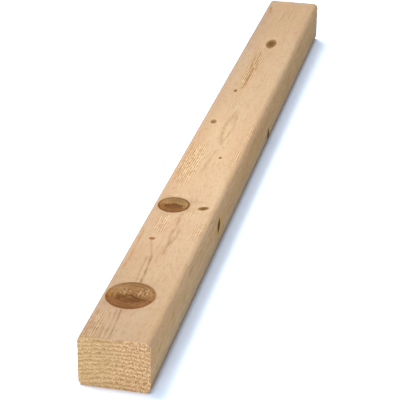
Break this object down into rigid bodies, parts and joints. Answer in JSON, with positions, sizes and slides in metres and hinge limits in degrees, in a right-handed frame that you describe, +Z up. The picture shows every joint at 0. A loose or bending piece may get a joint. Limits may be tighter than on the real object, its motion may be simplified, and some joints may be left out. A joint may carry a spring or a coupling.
{
  "type": "timber lumber plank",
  "caption": "Straight length of planed, knotty softwood with a rectangular section, rounded long edges and square sawn ends, for framing or battening.",
  "frame": {"origin": "middle of the flat underside, on the floor it lies on", "axes": "+X across the wide faces, +Y along the grain and the length, +Z up through the thickness, out of the upper wide face"},
  "size_m": [0.05, 0.7, 0.038],
  "materials": {
    "softwood": "planed and unfinished, knotty pine"
  },
  "bodies": {
    "root": {"timber_plank": "softwood"}
  },
  "joints": []
}
